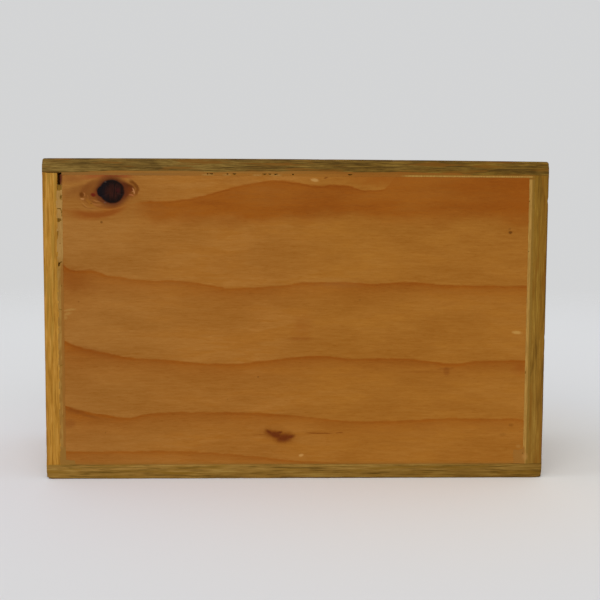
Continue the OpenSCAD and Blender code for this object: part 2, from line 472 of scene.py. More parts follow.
def board_wood(name, node, grain, outer, seed, tones, pith, spacing, dirt_and_shade, contrast=1.0, drift=None, rim=None,
               face=None, smear=None, stretch=1.0, knots=()):
    """Varnished pine of one board, with rings round a pith that runs along the grain ("x" or "z").

    outer is the board's outer face, as (axis, place), and dirt_and_shade is how dark that face's edges are
    painted, as dirt and as painted shade on their rounding. tones are dark, middle and light, and a last one
    that wanders through them in long streaks. drift is the tone that the board turns to towards its far end,
    rim the tone of its outer half, and face the tone of its wide faces, painted lighter there as painted
    light for the views from the side and above.
    pith is where the tree's centre lies across the board, in millimetres from the board's middle, and spacing
    is how far its rings are apart. contrast strengthens the grain, and stretch draws it out. smear is filler
    on the front's lower edge: its height at some places along x, and its tones at the left and right. knots
    are (along, across, radius).
    """
    low, high = span(node)
    middle = (low + high) / 2 / MM
    s = Surface(name)
    along, through = (0, 2) if grain == "x" else (2, 0)
    places = (s.x, s.y, s.z)
    s.grain = (places[along], s.y, places[through])
    on_face = s.fade(s.y, low[1] / MM + 2, low[1] / MM + 6)
    band = s.streaks(75 * stretch, 2.4, 2, seed + 17)
    streak = s.streaks(22 * stretch, 1.05, 3, seed + 11)
    fibre = s.streaks(9 * stretch, 0.32, 2, seed + 13)
    dash = s.streaks(8 * stretch, 1.5, 3, seed + 19)
    patch = s.streaks(42 * stretch, 8, 3, seed + 23)
    hue = s.streaks(40 * stretch, 3.0, 2, seed + 29)
    latewood, knot = tree_rings(s, (middle[1] + pith[0], middle[through] + pith[1]), spacing, seed, knots)

    depth = band * 0.8 + streak * 1.2 + (patch * 0.4 + fibre * 0.8) + dash * 0.5 - 1.83
    depth = depth * (s.fade(on_face, 0.0, 1.0, 1.0, 0.62) * contrast)
    depth = depth + latewood * s.fade(on_face, 0.0, 1.0, -0.2, -0.36)
    dark, mid, light, wander = tones
    s.color = s.mix(s.fade(depth, -0.46, 0.0), dark, mid)
    s.paint(s.fade(depth, 0.0, 0.42), light)
    s.paint(s.fade(hue, 0.52, 0.66, 0.0, 0.8), wander)
    s.paint(s.fade(streak, 0.6, 0.72, 0.0, 0.45), light)
    # The wide faces' tone is painted lighter, as painted light for the views from the side and above
    if face:
        s.retone(on_face, mid, face)
    if rim:
        outwardness = s.fade(places[through], middle[through] - 1.5, middle[through] + 2.5)
        if outer[1] / MM < middle[through]:
            outwardness = 1.0 - outwardness
        s.retone(outwardness, mid, rim)
    if drift:
        far_end = s.fade(places[along], low[along] / MM, high[along] / MM)
        s.retone(far_end * s.fade(patch, 0.3, 0.7, 0.7, 1.0), mid, drift)
    if knots:
        board_knots(s, knot + s.fade(patch, 0.3, 0.7, -0.15, 0.15), dark)
    if smear:
        above = s.z - low[2] / MM + s.fade(patch, 0.3, 0.7, -0.8, 0.8)
        smeared_edge(s, smear, above, 1.0 - on_face)

    ends = (0, 1) if grain == "x" else (1,)
    gap = s.outer_arris_gap(low, high, outer, ends) + s.fade(streak, 0.3, 0.7, -0.45, 0.45)
    s.paint(s.fall(gap, 0.6, 2.2) * s.fade(patch, 0.5, 0.62, 0.0, 0.35) * (1.0 - dirt_and_shade), (172, 132, 68))
    # Dark line along the outer arrises: partly dirt, partly painted shade on their rounding
    s.paint(s.fall(gap, 0.3, 2.1) * s.fade(band, 0.35, 0.6, dirt_and_shade, dirt_and_shade * 0.6), (50, 36, 16))
    roughness = s.fade(streak, 0.2, 0.8, 0.42, 0.56) + latewood * -0.06
    return s.finish(roughness, streak * 0.6 + (latewood * 0.35 + fibre * 0.5), 0.14)


def tree_rings(s, pith, spacing, seed, knots):
    """Where the rings round a pith have their dark latewood, and how many radii away the nearest knot is."""
    along, across, through = s.grain
    sway = s.streaks(260, 90, 2, seed)
    wobble = s.streaks(60, 9, 2, seed + 7)
    bent = s.distance(across - pith[0], through - pith[1]) + (sway * 26 + wobble * 1.6)
    nearest = 9.0
    for knot_along, knot_across, radius in knots:
        near = s.distance((along - knot_along) * 0.62, across - knot_across) / radius
        bent = bent + s.math("EXPONENT", near * near * -0.16) * (1.5 * radius)
        nearest = s.min(nearest, near)
    ring = s.math("FRACT", bent / spacing)
    return s.fade(ring, 0.3, 0.88) * s.fall(ring, 0.9, 1.0), nearest


def board_knots(s, knot, around):
    """Small knots in a board, inside 1 knot radius, with the wood round them turned to the given tone."""
    s.paint(s.fall(knot, 0.9, 2.4, 0.7), around)
    heart = s.mix(s.fade(s.math("PINGPONG", knot, 0.16), 0.02, 0.14), (70, 36, 14), (98, 56, 22))
    s.paint(s.fall(knot, 0.93, 1.06), (36, 18, 10))
    s.paint(s.fall(knot, 0.8, 0.92), heart)


def smeared_edge(s, smear, above, shown):
    """Filler on a board's lower edge. above is the distance above that edge."""
    heights, left_tone, right_tone = smear
    past = above - s.curve(s.x, heights, 0.0, 5.0)
    s.paint(s.fall(past, -0.5, 0.5, 0.85) * shown, s.mix(s.fade(s.x, -30, 60), left_tone, right_tone))


def varnish_shade(s, value):
    """A factor of the given value. Where it is below 1 it darkens green and blue most, as varnish does."""
    change = value - 1.0
    green = change * 1.6 + 1.0
    blue = s.max(change * 3.4 + 1.0, 0.1)
    return s.add("CombineColor", {0: value, 1: green, 2: blue}).outputs[0]


def spot(s, place, size, tilt=0.0, ragged=0.35):
    """Distance from a spot's middle, 1 at its ragged edge. size holds its half length and half height."""
    dx = s.x - place[0]
    dz = s.z - place[1]
    turn = math.radians(tilt)
    along = dx * (math.cos(turn) / size[0]) + dz * (math.sin(turn) / size[0])
    up = dx * (-math.sin(turn) / size[1]) + dz * (math.cos(turn) / size[1])
    return s.distance(along, up) + s.rough_edge(max(size)) * (2 * ragged)


# Growth lines of the base's face veneer. Each has its places from left to right, as x and height in
# millimetres, how dark it is just below the line, and how far it fades below it. The dark zone below the
# first one fades out between two heights instead, and is weaker at the left.
GROWTH_LINES = [
    ([(-231, 270), (-210, 268), (-194, 267), (-180, 271), (-165, 275), (-150, 278), (-125, 278.5),
      (-105, 281), (-75, 289), (-50, 295.5), (-20, 299), (0, 297.3), (12, 294.8), (38, 295), (50, 294.4),
      (62, 291.3), (74, 289.9), (84, 290.8), (91, 296), (97, 303), (118, 308), (233, 309)], 1.0, 9),
    ([(-231, 216.5), (-226, 211.6), (-214, 209.8), (-203, 209.8), (-188, 205), (-170, 202.3), (-145, 200),
      (-118, 199.7), (-95, 197), (-70, 193), (-45, 193.3), (-20, 195), (5, 198), (55, 198.5), (80, 197.2),
      (105, 199), (155, 196.4), (233, 196)], 1.0, 9.5),
    ([(-231, 140), (-218, 134.5), (-195, 129), (-170, 123.6), (-120, 119.8), (-90, 117.2), (-60, 117),
      (-30, 120.2), (5, 124), (30, 124.4), (55, 122.2), (105, 122.4), (130, 120), (155, 116.8), (180, 119.3),
      (233, 120.5)], 0.97, 9),
    ([(-231, 75), (-218, 70.5), (-195, 66), (-170, 62.3), (-145, 66.5), (-70, 67.6), (-20, 66), (5, 63.7),
      (55, 58.4), (105, 59.2), (155, 61.6), (180, 61.2), (205, 60.8), (228, 60.2), (233, 57)], 0.93, 8.5),
    ([(-231, 28.5), (-205, 28), (-155, 28.5), (-105, 27.5), (-65, 25), (-40, 22.5), (-15, 19.5), (15, 17),
      (233, 13)], 0.82, 6.5),
]
FIRST_ZONE = (251, 273)
FIRST_ZONE_WEAK = (-168, -140)

# Heights that every growth line lies between, on the base and on the lid
GROWTH_HEIGHTS = (10, 310)


def growth_shade(s, lines, seed, first_zone=None):
    """How dark the growth lines make the veneer, 0 to 1 and a little over 1 along a line's sharp upper edge.
    first_zone, where there is one, is how dark it is below the first line."""
    wobble = (s.streaks(13, 3.2, 3, seed) - 0.5) * 3.2 + (s.streaks(5, 1.4, 2, seed + 1) - 0.5) * 1.6
    spread = s.fade(s.x, PANEL_LEFT, -150, 0.45, 1.0)
    uneven = s.fade(s.streaks(80, 14, 3, seed + 2), 0.32, 0.68, 0.78, 1.08)
    uneven = uneven * s.fade(s.x, PANEL_LEFT, -180, 1.15, 1.0)
    total = 0.0
    for points, strength, reach in lines:
        depth = s.curve(s.x, points, *GROWTH_HEIGHTS) - s.z + wobble
        edge = s.fade(depth, -0.9, 1.1)
        rim = s.fade(abs(depth - 1.3), 0.0, 2.2, 1.15, 1.0)
        faded = first_zone or s.math("EXPONENT", s.max(depth, 0.0) * (spread * (-1 / reach)))
        first_zone = None
        total = s.max(total, edge * rim * (faded * strength))
    return total * uneven


def veneer(s, grown, seed, contrast=1.0):
    """Paints flat-sawn pine veneer. grown is how dark its growth lines make it, and the result is the height
    of its fibres."""
    hue = s.streaks(30, 6, 4, seed)
    cloud = s.streaks(90, 30, 2, seed + 5)
    streak = s.streaks(18, 1.7, 3, seed + 7)
    fibre = s.streaks(6, 0.45, 2, seed + 9)
    dash = s.streaks(7, 1.0, 2, seed + 13)
    s.color = s.mix(s.fade(hue, 0.4, 0.6), (151, 94, 29), (156, 101, 38))
    s.paint(s.fade(cloud, 0.42, 0.6, 0.0, 0.8), (153, 99, 37))
    s.paint(s.fall(s.x, PANEL_LEFT, -60, 0.75), (149, 98, 40))
    s.paint(s.fade(s.x, -50, 60, 0.0, 0.6), (152, 97, 29))
    s.paint(s.min(grown * s.fade(streak, 0.3, 0.7, 0.84, 1.1), 1.0), (140, 76, 11))
    light = s.fade(streak, 0.28, 0.72, -0.048, 0.048) + s.fade(fibre, 0.25, 0.75, -0.042, 0.042)
    light = light + (s.fade(dash, 0.58, 0.72, 0.0, -0.08) + s.fall(dash, 0.28, 0.38, 0.07))
    light = light + (s.fade(cloud, 0.35, 0.65, 0.05, -0.05) + s.fade(hue, 0.35, 0.65, 0.02, -0.02))
    light = light * contrast + 1.0 + s.max(grown - 1.0, 0.0) * -0.5
    s.color = s.mix(1.0, s.color, varnish_shade(s, light), "MULTIPLY")
    return fibre + (streak * 0.4 + dash * -0.4)


def ply_edge(s, low, high, seed):
    """Paints the plies on the edges of a panel between these corners. Its faces stay as they are."""
    facing = s.math("ABSOLUTE", s.add("SeparateXYZ", {0: s.normal}).outputs["Y"])
    layer = abs(s.y - low[1] / MM) * (PLIES * MM / (high[1] - low[1]))
    cross = s.fade(s.math("PINGPONG", layer, 1.0), 0.35, 0.65)
    pores = s.noise(s.x * 0.9, s.y * 5.0, s.z * 0.9, 3, seed=seed)
    plies = s.mix(cross, (160, 113, 55), (124, 82, 35))
    plies = s.mix(s.fade(pores, 0.45, 0.7, 0.0, 0.5), plies, (92, 58, 24))
    s.color = s.mix(s.fade(facing, 0.35, 0.75), plies, s.color)


def stroke(s, start, end, bow, width, wobble):
    """1 on a short curved mark from start to end, 0 a width away. bow is how far its middle stands off."""
    dx, dz = end[0] - start[0], end[1] - start[1]
    length = math.hypot(dx, dz)
    from_x = s.x - start[0]
    from_z = s.z - start[1]
    along = from_x * (dx / length ** 2) + from_z * (dz / length ** 2)
    aside = from_x * (-dz / length) + from_z * (dx / length)
    hump = along * (1.0 - along) * (4 * bow)
    off = abs(aside - hump + wobble)
    taper = s.fade(along, -0.02, 0.3) * s.fall(along, 0.7, 1.02)
    return s.fall(off, width * 0.25, width) * taper


# Marks round the big knot: start, end, bow, half width, strength and colour
KNOT_MARKS = [
    ((-228, 286), (-196, 292), 1.0, 5.0, 0.55, (122, 70, 22)),
    ((-214, 280), (-191, 299), 4.0, 4.0, 0.65, (118, 66, 20)),
    ((-218, 299), (-156, 302), 3.2, 4.0, 0.65, (138, 66, 28)),
    ((-199, 297), (-160, 299.5), 4.6, 2.6, 0.5, (130, 62, 26)),
    ((-208, 281), (-199, 272), -1.0, 2.6, 0.5, (146, 92, 24)),
    ((-213, 279), (-192, 268.6), -4.0, 1.2, 0.5, (164, 110, 50)),
    ((-213, 276), (-198, 270.5), -2.4, 0.9, 0.5, (118, 66, 18)),
    ((-210, 283), (-203, 274), -1.6, 0.8, 0.45, (122, 68, 20)),
    ((-203, 277), (-176, 273), -3.4, 2.8, 0.5, (122, 62, 16)),
    ((-232, 268), (-162, 279), -9.0, 7.0, 0.6, (136, 70, 12)),
    ((-224, 270), (-166, 275), -8.4, 3.4, 0.5, (128, 62, 8)),
    ((-198, 271), (-166, 275), -3.0, 1.2, 0.4, (166, 106, 40)),
    ((-168.5, 298), (-160, 296), 0.8, 1.8, 0.5, (156, 108, 48)),
    ((-167, 299), (-155.4, 286.5), 2.2, 2.5, 0.85, (100, 50, 0)),
    ((-176, 295), (-159, 287.5), 1.2, 4.2, 1.0, (84, 38, 0)),
    ((-172, 279.5), (-160, 292), 1.8, 4.2, 0.8, (104, 46, 4)),
    ((-155.6, 291), (-158.5, 283), -0.8, 2.2, 0.75, (110, 56, 4)),
    ((-162.4, 291.5), (-160.4, 284), 0.7, 0.9, 0.8, (182, 124, 74)),
    ((-166.6, 284.2), (-160, 282.6), 0.6, 1.0, 0.6, (172, 102, 58)),
    ((-163, 287.6), (-160.6, 286.4), 0.2, 0.8, 0.5, (182, 122, 72)),
    ((-213.4, 280.6), (-208.5, 280), -0.6, 1.0, 0.75, (178, 122, 70)),
    ((-210, 286.4), (-208.6, 282), 0.4, 0.7, 0.5, (172, 112, 60)),
    ((-206.5, 284), (-205.4, 279.5), 0.4, 0.7, 0.45, (160, 100, 46)),
    ((-201, 279), (-193, 277.4), -0.5, 0.7, 0.6, (166, 108, 58)),
    ((-202, 275.4), (-190, 274.4), -0.8, 0.8, 0.55, (164, 104, 54)),
    ((-197, 280.4), (-189, 276.6), -0.6, 1.2, 0.6, (96, 46, 16)),
    ((-203, 277.6), (-194, 276), -0.5, 0.8, 0.6, (104, 54, 20)),
    ((-200, 287), (-195, 283), -0.6, 2.2, 0.6, (132, 64, 20)),
]
KNOT_SPOTS = [
    ((-211.8, 283.8), (2.6, 3.2), 1.0, (100, 52, 4)),
    ((-200.4, 283.8), (2.8, 2.2), 1.0, (98, 26, 6)),
    ((-197.8, 286.2), (1.4, 1.8), 0.6, (116, 52, 20)),
    ((-202.6, 275.4), (1.0, 0.8), 0.6, (100, 54, 20)),
    ((-192.7, 257.1), (1.5, 1.5), 0.85, (112, 68, 18)),
    ((-188.4, 296.4), (1.3, 0.8), 0.25, (112, 92, 78)),
    ((-188.9, 276.4), (1.4, 0.9), 0.3, (98, 82, 72)),
]


def big_knot(s, shown, wobble):
    """The black knot near the upper left corner, in its eye-shaped swirl."""
    x, z = KNOT
    eye = spot(s, (x - 4, z - 1), (32, 17), ragged=0.12)
    s.paint(s.fall(eye, 0.3, 1.15, 0.7) * shown, (134, 76, 24))
    left_eye = spot(s, (x - 19, z - 2), (15, 11), ragged=0.25)
    s.paint(s.fall(left_eye, 0.3, 1.2, 0.75) * shown, (114, 64, 18))
    beside = spot(s, (x + 15.5, z + 0.8), (9, 8.5), ragged=0.4)
    s.paint(s.fall(beside, 0.2, 1.3, 0.75) * shown, (102, 48, 4))
    for start, end, bow, width, strength, mark in KNOT_MARKS:
        s.paint(stroke(s, start, end, bow, width, wobble * 0.5) * (shown * strength), mark)
    disc = spot(s, KNOT, KNOT_SIZE, ragged=0.08)
    lobe = spot(s, (x - KNOT_LOBE, z - 0.2), KNOT_LOBE_SIZE, ragged=0.12)
    core = s.min(disc, lobe)
    s.paint(s.fall(core, 0.95, 1.6, 0.9) * shown, (84, 36, 10))
    s.paint(s.fall(core, 0.88, 1.06) * shown, knot_black(s, x, z))
    for place, size, strength, mark in KNOT_SPOTS:
        s.paint(s.fall(spot(s, place, size), 0.4, 1.2, strength) * shown, mark)


def knot_black(s, x, z):
    """The big knot's own colour: nearly black, with a brown heart full of rays and a reddish fleck."""
    heart = spot(s, (x + 1.5, z), (11, 10.5), ragged=0.2)
    rays = s.noise(s.z / 9, s.x / 1.4, s.y / 1.4, 2, seed=3.0)
    black = s.mix(s.fade(s.x, x - 8, x - 1), (15, 7, 10), (13, 4, 2))
    black = s.mix(s.fall(heart, 0.35, 1.1) * s.fade(rays, 0.35, 0.6, 0.25, 1.0), black, (47, 17, 8))
    fleck = spot(s, (x + 6, z + 1), (2.4, 3.0), ragged=0.3)
    return s.mix(s.fall(fleck, 0.2, 1.2, 0.6), black, (58, 10, 10))


def small_knot(s, shown, wobble):
    """The fish-shaped brown knot low in the middle, and the fine cracks beside it."""
    x, z = SMALL_KNOT
    halo = spot(s, (x - 6, z + 2.6), (22, 8), tilt=-12, ragged=0.4)
    s.paint(s.fall(halo, 0.2, 1.3, 0.65) * shown, (130, 74, 14))
    shape = spot(s, SMALL_KNOT, SMALL_KNOT_SIZE, tilt=10)
    lobes = [
        ((x - 8.7, z + 3.0), (8.6, 3.4), -16), ((x - 14.6, z + 5.6), (4.2, 1.9), -28),
        ((x + 6.0, z + 0.9), (4.4, 2.2), 16), ((x - 4.8, z + 5.2), (3.4, 1.4), 6),
    ]
    for place, size, tilt in lobes:
        shape = s.min(shape, spot(s, place, size, tilt))
    s.paint(s.fall(shape, 0.7, 1.8, 0.75) * shown, (118, 62, 10))
    s.paint(s.fall(shape, 0.35, 1.2, 0.9) * shown, (98, 42, 6))
    cracks = [
        ((-46, 44.2), (-30, 44.8), 0.9, 0.35), ((6, 46.4), (40, 46.0), 1.0, 0.7),
        ((39, 46.2), (48, 46.9), 0.9, 0.65),
    ]
    for start, end, width, strength in cracks:
        s.paint(stroke(s, start, end, 0.0, width, wobble * 0.5) * (shown * strength), (112, 54, 0))


# Small marks on the base: place, half size, tilt, strength and colour. The first few are hollow pinholes.
PINHOLES = 5
BASE_MARKS = [
    ((212.6, 248.9), (2.1, 1.6), 0, 0.9, (94, 50, 0)),
    ((211.8, 252.4), (1.5, 1.0), 20, 0.5, (112, 64, 10)),
    ((-38.5, 103.5), (0.9, 0.7), 0, 0.7, (96, 54, 12)),
    ((-69, 81), (0.8, 0.7), 0, 0.35, (104, 60, 14)),
    ((63, 181), (1.2, 0.8), 10, 0.4, (112, 68, 20)),
    ((-191, 47), (0.8, 0.8), 0, 0.4, (104, 60, 14)),
    ((5, 23.6), (2.6, 1.6), 15, 0.7, (190, 142, 78)),
    ((221.5, 148.6), (5.2, 1.8), -4, 0.65, (184, 140, 72)),
    ((-225, 170.5), (6.4, 1.3), 8, 0.5, (170, 128, 64)),
    ((-227, 166.6), (4.6, 1.5), 12, 0.45, (168, 126, 62)),
    ((-229.4, 162.6), (2.4, 2.2), 0, 0.4, (166, 124, 60)),
    ((17, 299.6), (4.2, 1.8), -8, 0.65, (186, 142, 80)),
    ((27.8, 301.8), (2.2, 0.8), 16, 0.8, (112, 58, 4)),
    ((40.4, 304.2), (1.6, 0.7), 0, 0.6, (120, 64, 10)),
    ((5, 153), (12, 16), 0, 0.4, (140, 78, 18)),
    ((2, 142), (14, 2.4), 0, 0.45, (130, 68, 12)),
    ((-222, 199), (28, 14), -10, 0.6, (130, 70, 14)),
    ((-203, 128.6), (32, 5.4), -15, 0.35, (126, 66, 14)),
    ((151, 109), (3.4, 4.6), 10, 0.5, (122, 62, 10)),
    ((130, 108.6), (24, 1.3), 0, 0.4, (128, 70, 14)),
    ((40, 198), (30, 6), 0, 0.15, (140, 104, 58)),
    ((150, 112), (9, 1.4), 0, 0.4, (120, 66, 18)),
    ((-222, 69), (13, 3.6), -14, 0.5, (114, 60, 14)),
    ((-205, 63.5), (12, 1.8), -12, 0.45, (112, 60, 14)),
    ((-227, 56), (7, 5), 0, 0.4, (122, 64, 16)),
    ((-216, 178.6), (1.1, 0.9), 0, 0.5, (118, 66, 16)),
    ((84, 302), (40, 11), 0, 0.95, (144, 82, 18)),
    ((222, 281), (16, 28), 0, 0.35, (144, 76, 8)),
    ((226, 112), (11, 8), 0, 0.5, (134, 66, 8)),
    ((-222, 300), (17, 6), 0, 0.6, (130, 74, 28)),
    ((-223, 284), (15, 7), 0, 0.5, (124, 72, 22)),
    ((217.5, 54.3), (2.8, 1.8), 0, 0.5, (120, 68, 12)),
    ((209.8, 44.4), (3.6, 1.8), 0, 0.35, (126, 76, 18)),
    ((225.6, 32.5), (2.6, 1.8), 0, 0.4, (166, 118, 56)),
]


def base_ply():
    """Orange-brown pine plywood of the base, with growth lines, two knots and handling marks."""
    low, high = span("base_panel")
    front = low[1] / MM
    s = Surface("base_ply")
    inner = s.fade(s.y, front + 2, front + 4)
    shown = 1.0 - inner
    # The inner face's veneer is cut elsewhere, so it has the growth lines at other heights
    s.z = s.z + inner * -31
    s.grain = (s.x, s.z, s.y)
    sag = (s.streaks(45, 30, 3, 51.0) - 0.5) * 30
    first_zone = s.fade(s.z + sag, *FIRST_ZONE) * s.fade(s.x, *FIRST_ZONE_WEAK, 0.2, 1.0)
    height = veneer(s, growth_shade(s, GROWTH_LINES, 3.0, first_zone), 1.0)
    wobble = (s.streaks(5, 2.5, 2, 21.0) - 0.5) * 2.4
    for place, size, tilt, strength, mark in BASE_MARKS:
        inside, ragged = (0.0, 0.55) if max(size) > SOFT_MARK else (0.45, 0.4)
        s.paint(s.fall(spot(s, place, size, tilt, ragged), inside, 1.3, strength) * shown, mark)
    small_knot(s, shown, wobble)
    big_knot(s, shown, wobble)
    # Painted shade beside the left filler's missing end, where the base's edge sinks into the gap, and
    # stained along the lower edge
    from_gap = s.distance(s.x - (low[0] / MM - 2), (s.z - 300) * 0.3)
    s.paint(s.fall(from_gap, 1.0, 3.6, 0.95), (72, 24, 14))
    from_below = s.z - low[2] / MM + wobble * 0.6
    s.paint(s.fall(from_below, 0.0, 3.0, 0.6), (136, 92, 34))
    ply_edge(s, low, high, 5.0)
    return s.finish(s.fade(height, 0.1, 0.9, 0.38, 0.5), height, 0.08)


def lid_ply():
    """Paler pine plywood of the lid, partly painted lighter as painted light for its dim back, with wide
    growth lines of its own.
    """
    low, high = span("lid_panel")
    s = Surface("lid_ply")
    lines = [
        ([(-241, 262), (-120, 255), (0, 238), (120, 252), (251, 270)], 0.9, 9),
        ([(-241, 214), (-120, 203), (0, 176), (120, 199), (251, 222)], 0.9, 7),
        ([(-241, 108), (-120, 122), (0, 141), (120, 126), (251, 102)], 0.9, 7),
        ([(-241, 70), (-120, 80), (0, 92), (120, 84), (251, 64)], 0.8, 6),
        ([(-241, 38), (-120, 45), (0, 50), (120, 44), (251, 33)], 0.7, 5),
    ]
    outward = s.fade(s.y, low[1] / MM + 3, low[1] / MM + 5)
    s.z = s.z + outward * 19
    s.grain = (s.x, s.z, s.y)
    height = veneer(s, growth_shade(s, lines, 43.0), 31.0, 1.6)
    # Raised to a paler tone: partly the plywood's own, partly painted light for the dimly lit back
    s.retone(1.0, (155, 101, 35), (192, 140, 68))
    ply_edge(s, low, high, 35.0)
    return s.finish(s.fade(height, 0.1, 0.9, 0.4, 0.55), height, 0.08)


def wood_filler():
    """Sanded tan filler, stained by the varnish in places. Its hollows are painted darker, as painted shade.
    """
    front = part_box("filler_left")[0][1] / MM
    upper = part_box("filler_upper")[0][2] / MM
    s = Surface("wood_filler")
    cloud = s.noise(s.x * 0.22, s.y * 0.22, s.z * 0.08, 4, seed=2.0)
    grit = s.noise(s.x * 1.4, s.y * 1.4, s.z * 1.1, 3, seed=9.0)
    s.grain = (s.z, s.x, s.y)
    streak = s.streaks(14, 1.0, 3, 12.0)
    on_left = s.fall(s.x, 0, 1)
    below = s.fall(s.z, 30, 34)
    s.color = s.mix(s.fade(cloud, 0.36, 0.64), (142, 99, 40), (160, 120, 57))
    s.paint(s.fade(s.x, 0, 60, 0.0, 0.9), (171, 131, 63))
    s.paint(s.fall(streak, 0.42, 0.62, 0.5), (134, 94, 36))
    s.paint(on_left * (s.fade(s.z, 214, 226) * s.fade(streak, 0.3, 0.6, 0.3, 0.95)), (164, 124, 66))
    s.paint(s.fade(s.x + s.fade(streak, 0.3, 0.7, -0.4, 0.4), 233.2, 234.1), (129, 95, 34))
    s.paint(s.fade(s.x, -233.8, -232.2) * (on_left * s.fall(s.z, 213, 222)), (141, 93, 36))
    upper_filler(s, upper)
    s.paint(below * s.fall(abs(s.x), 231.5, 233.0), (145, 97, 38))
    s.paint(below * on_left, (138, 98, 40))
    s.paint(s.fall(spot(s, (232.8, 21.6), (3.4, 4.0), ragged=0.6), 0.2, 1.3, 0.75), (166, 120, 60))
    s.paint(s.fade(grit, 0.6, 0.75, 0.0, 0.4), (116, 80, 32))
    # Painted shade: the deeper the surface lies behind the front, in pits, cracks, voids and the strips'
    # sides, the darker
    s.paint(s.fade(s.y, front + 0.13, front + 0.42, 0.0, 0.9), (122, 86, 20))
    s.paint(s.fade(s.y, front + 0.6, front + 1.6), (92, 54, 8))
    return s.finish(s.fade(grit, 0.3, 0.7, 0.55, 0.75), grit, 0.12)


def upper_filler(s, upper):
    """Stains the filler above this height, all but a light line along its lower edge in some places."""
    light = s.fade(s.x, 100, 112)
    for middle, half in UPPER_FILLER_LIGHT:
        light = s.max(light, s.fall(abs(s.x - middle), half - 1, half + 3, 0.5))
    light = light * s.fall(abs(s.z - (upper + 0.6)), 0.4, 1.1)
    stain = s.mix(s.fade(s.x, -150, -60), (134, 91, 40), (146, 94, 32))
    stain = s.mix(s.fade(s.x, 20, 70), stain, (140, 86, 26))
    stain = s.mix(s.fade(s.x, 100, 112), stain, (128, 86, 26))
    s.paint(s.fade(s.z, upper - 2.5, upper - 1.5) * (1.0 - light), stain)


def nail_steel():
    """Dull wire-nail steel with specks of rust."""
    s = Surface("nail_steel")
    rust = s.noise(s.x * 0.8, s.y * 0.8, s.z * 0.8, 4, seed=4.0)
    scratch = s.noise(s.x * 4, s.y * 1.1, s.z * 4, 2, seed=8.0)
    s.color = s.mix(s.fade(scratch, 0.3, 0.7), (128, 125, 120), (158, 155, 150))
    s.paint(s.fade(rust, 0.52, 0.68, 0.0, 0.8), (94, 62, 42))
    return s.finish(s.fade(rust, 0.4, 0.7, 0.36, 0.7), scratch, 0.05, metallic=0.85)


# ---------------------------------------------------------------- nails and their holes

def nail_places(node):
    """Where each nail of a group meets the wood's surface."""
    (_, head, _), way, along, count = NAILS[node]
    low, high = span(node)
    way = np.array(way)
    middle = (low + high) / 2
    surface = np.where(way > 0, high, np.where(way < 0, low, middle)) + way * HEAD_SINK
    places = np.repeat(surface[None], count, axis=0)
    places[:, along] = np.linspace(low[along] + head, high[along] - head, count)
    return places


def nail_profile(kind, seed):
    """Half outline of a wire nail from its tip to its slightly domed head."""
    shank, head, length = kind
    neck = -HEAD_SINK - HEAD_HEIGHT
    tilt = np.random.default_rng(seed).uniform(0.85, 1.0)
    return [
        (0.02 * MM, -length), (shank * 0.55, -length + 1.4 * MM), (shank, -length + 3 * MM),
        (shank, neck - 0.5 * MM), (shank * 1.2, neck), (head * 0.93, neck + 0.1 * MM),
        (head, neck + 0.35 * MM), (head, neck + 0.75 * MM), (head * 0.93, neck + HEAD_HEIGHT * 0.85 * tilt),
        (head * 0.6, neck + HEAD_HEIGHT * 0.97 * tilt), (0.02 * MM, neck + HEAD_HEIGHT * tilt),
    ]


def hole_profile(kind):
    """Half outline of the hole that a nail has made: its shank's bore, and a bruised recess over its head."""
    shank, head, length = kind
    room = 0.03 * MM
    return [
        (0.05 * MM, -length - room), (shank + room, -length + 3 * MM), (shank + room, -1.56 * MM),
        (head + room, -1.54 * MM), (head + room, -0.25 * MM), (head + 0.35 * MM, -0.05 * MM),
        (head + 0.6 * MM, 0.5 * MM),
    ]


def nail_holes(*nodes):
    """Cutting forms for the holes of these nail groups."""
    forms = []
    for node in nodes:
        kind, way, _, _ = NAILS[node]
        forms += [turned(hole_profile(kind), place, way, 20) for place in nail_places(node)]
    return forms


# ---------------------------------------------------------------- pieces

def place_piece(piece, body, slot, material, *nodes):
    """Gives a piece its material, its body and the CAD nodes that it stands for."""
    piece.data.materials.clear()
    piece.data.materials.append(material)
    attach(piece, body)
    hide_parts(*nodes)


def lid_groove(x_high, z_low, z_high):
    """Cutting form of the lid's groove between two heights, from its closed end to x_high."""
    low, high = span("lid_panel")
    return box_cutter((low[0] - 2 * LID_CLEARANCE, low[1] - LID_CLEARANCE, z_low),
                      (x_high, high[1] + LID_CLEARANCE, z_high))


def long_wall(side, seed, wood):
    """The lower or upper long wall, worn round at its outer corners, with the lid's groove in it."""
    node = "long_wall_" + side
    low, high = span(node)
    lid_low, lid_high = span("lid_panel")
    thickness = high[2] - low[2]
    outer = low[2] if side == "lower" else high[2]

    def wear(points):
        outside = 1 - smoothstep(0.3, 0.7, np.abs(points[:, 2] - outer) / thickness)
        near_outer = 1 - smoothstep(1 * MM, 6 * MM, np.abs(points[:, 2] - outer))
        near_end = 1 - smoothstep(1 * MM, 6 * MM, np.minimum(points[:, 0] - low[0], high[0] - points[:, 0]))
        return MM * (0.12 + 0.88 * outside + 1.5 * near_outer * near_end)

    def bow(points):
        reach = np.abs(points[:, 0]) / high[0]
        outside = np.abs(points[:, 2] - outer) < thickness / 2
        points[:, 2] -= UPPER_DROOP * reach ** 2 * outside
        return points

    piece = worn_board(node.replace("wall", "board"), low, high, (4 * MM, 8 * MM, 4 * MM), seed, wear,
                       (1.0 * MM, 2.5 * MM), bow if side == "upper" else None)
    if side == "lower":
        heights = (lid_low[2] - LID_CLEARANCE, high[2] + MM)
    else:
        heights = (low[2] - MM, lid_high[2] + LID_CLEARANCE)
    holes = nail_holes(f"corner_nails_{side}_left", f"corner_nails_{side}_right", f"base_pins_{side}")
    cut(piece, [lid_groove(high[0] + 4 * MM, *heights)] + holes)
    material = board_wood(piece.name, node, "x", (2, outer), seed, **wood)
    place_piece(piece, "crate", f"wall_{side}_pine", material, node)


